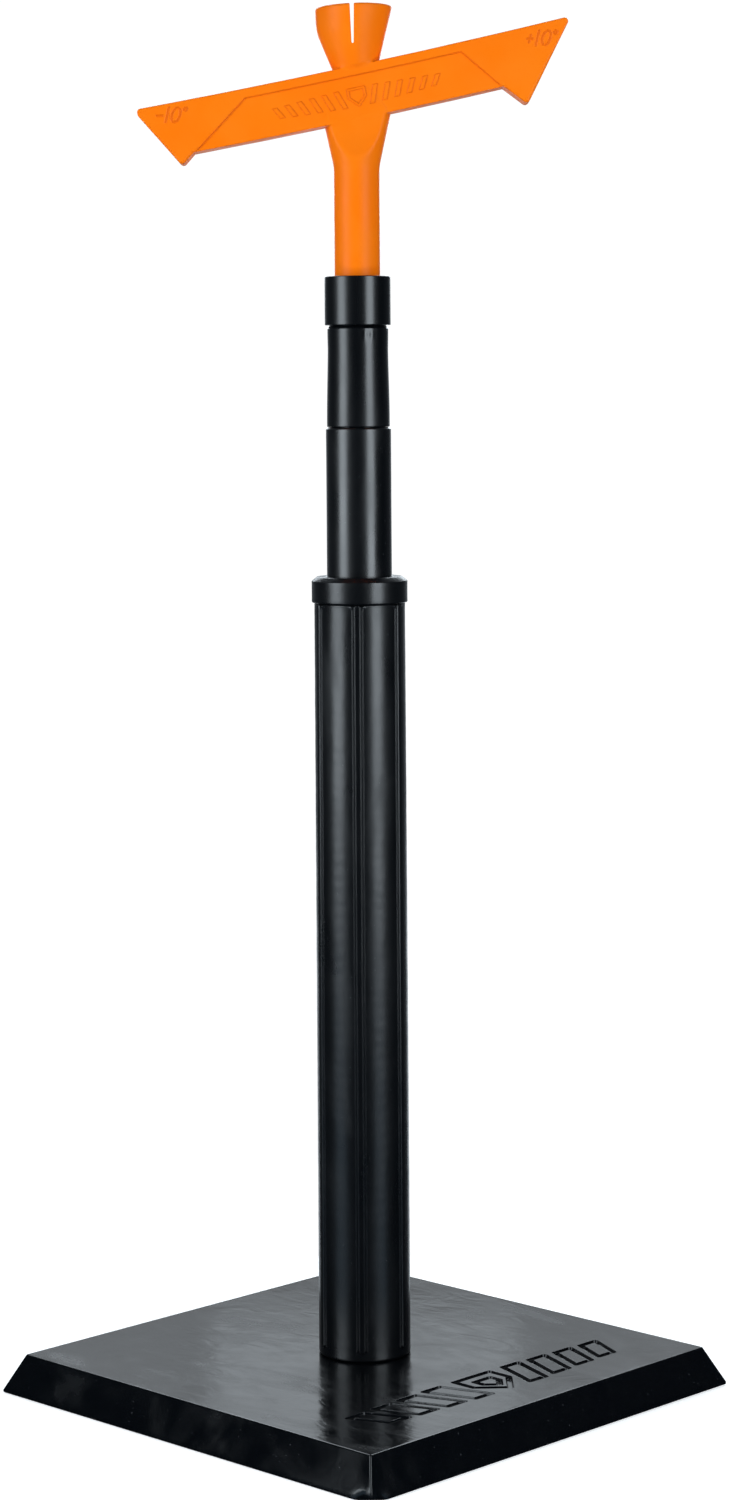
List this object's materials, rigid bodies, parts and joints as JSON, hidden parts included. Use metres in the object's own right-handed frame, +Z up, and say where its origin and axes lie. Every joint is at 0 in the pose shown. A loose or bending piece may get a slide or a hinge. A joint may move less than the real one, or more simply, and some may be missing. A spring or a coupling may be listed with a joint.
{
  "type": "batting tee",
  "caption": "Height-adjustable rubber batting tee: square base, ribbed outer tube, sliding inner tube, and a swivelling split ball cup on a tilted double-headed arrow bar.",
  "frame": {"origin": "on the floor, at the middle of the base's underside, which is also on the tubes' axis", "axes": "+Z up along the tubes; the base's sides run along X and Y"},
  "size_m": [0.4064, 0.4064, 1.0786],
  "materials": {
    "base_rubber": "satin moulded black rubber",
    "tube_rubber": "satin moulded black rubber",
    "inner_rubber": "smooth satin black rubber",
    "orange_rubber": "satin orange thermoplastic rubber",
    "black_plastic": "plain moulded",
    "pale_plastic": "plain moulded",
    "zinc_steel": "zinc plated"
  },
  "bodies": {
    "stand": {"base_plate": "base_rubber", "base_washer": "zinc_steel", "base_bolt": "zinc_steel", "captive_nut": "zinc_steel", "foot_plug": "black_plastic", "lower_tube": "tube_rubber"},
    "slider": {"inner_tube": "inner_rubber", "guide_ring": "pale_plastic", "stem_sleeve": "inner_rubber"},
    "rest": {"ball_rest": "orange_rubber"}
  },
  "joints": [
    {"name": "height_slide", "type": "slide", "parent": "stand", "child": "slider", "axis": [0, 0, 1], "range_m": [-0.112, 0.205]},
    {"name": "arrow_swivel", "type": "hinge", "parent": "slider", "child": "rest", "pos_m": [0, 0, 0.8747], "axis": [0, 0, 1], "continuous": true}
  ]
}
